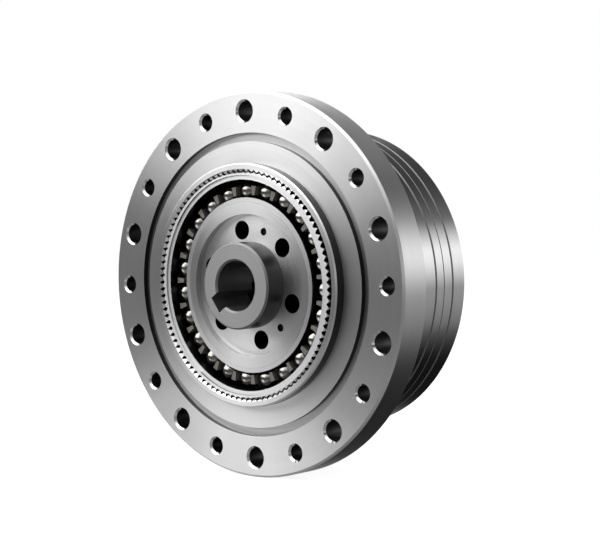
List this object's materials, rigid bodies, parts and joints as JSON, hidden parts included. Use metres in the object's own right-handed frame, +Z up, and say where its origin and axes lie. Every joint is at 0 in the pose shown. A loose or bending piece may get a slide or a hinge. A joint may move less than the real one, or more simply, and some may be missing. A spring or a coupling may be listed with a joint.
{
  "type": "strain wave gear",
  "caption": "Housed strain wave gear unit: keyed input hub, elliptical wave generator with thin ball bearing, toothed flex cup in a flanged ring gear, crossed roller output.",
  "frame": {"origin": "centre of the flange's front face, on the gear axis", "axes": "+Y along the gear axis from the input side to the output flange, +Z up through a large flange hole"},
  "size_m": [0.107, 0.052, 0.107],
  "materials": {
    "ground_steel": "fine turned and ground",
    "barrel_steel": "turned bright steel",
    "spring_steel": "hobbed and honed alloy steel",
    "bearing_steel": "ground bearing steel",
    "polished_ball": "mirror polished",
    "plug_steel": "turned steel",
    "black_oxide": "black oxide",
    "cage_resin": "moulded grey-brown resin",
    "seal_rubber": "moulded nitrile rubber"
  },
  "bodies": {
    "housing": {"circular_spline": "ground_steel", "housing_seal_ring": "seal_rubber", "bearing_housing": "barrel_steel", "front_race_ring": "barrel_steel", "rear_race_ring": "barrel_steel", "housing_pins": "bearing_steel", "seal_carrier": "barrel_steel", "tie_screws": "black_oxide", "output_seal": "seal_rubber"},
    "input": {"wave_plug": "plug_steel", "input_hub": "plug_steel", "plug_screws": "black_oxide", "wave_bearing_inner_ring": "bearing_steel"},
    "ball_set": {"wave_bearing_balls": "polished_ball", "wave_bearing_cage": "cage_resin"},
    "output": {"flexspline": "spring_steel", "wave_bearing_outer_ring": "bearing_steel", "output_flange": "ground_steel", "output_cap": "bearing_steel", "flexspline_clamp_ring": "plug_steel", "flexspline_bolts": "black_oxide", "flexspline_dowels": "bearing_steel"},
    "roller_set": {"cross_rollers": "bearing_steel", "roller_spacers": "cage_resin"}
  },
  "joints": [
    {"name": "input_spin", "type": "hinge", "parent": "housing", "child": "input", "pos_m": [0, 0, 0], "axis": [0, 1, 0], "continuous": true, "deforming": ["flexspline"]},
    {"name": "output_spin", "type": "hinge", "parent": "housing", "child": "output", "pos_m": [0, 0, 0], "axis": [0, 1, 0], "continuous": true},
    {"name": "ball_spin", "type": "hinge", "parent": "housing", "child": "ball_set", "pos_m": [0, 0, 0], "axis": [0, 1, 0], "continuous": true},
    {"name": "roller_spin", "type": "hinge", "parent": "housing", "child": "roller_set", "pos_m": [0, 0, 0], "axis": [0, 1, 0], "continuous": true}
  ],
  "couplings": [
    {"joint": "output_spin", "follows": "input_spin", "ratio": -0.02},
    {"joint": "ball_spin", "follows": "input_spin", "ratio": 0.4365},
    {"joint": "roller_spin", "follows": "input_spin", "ratio": -0.01}
  ]
}
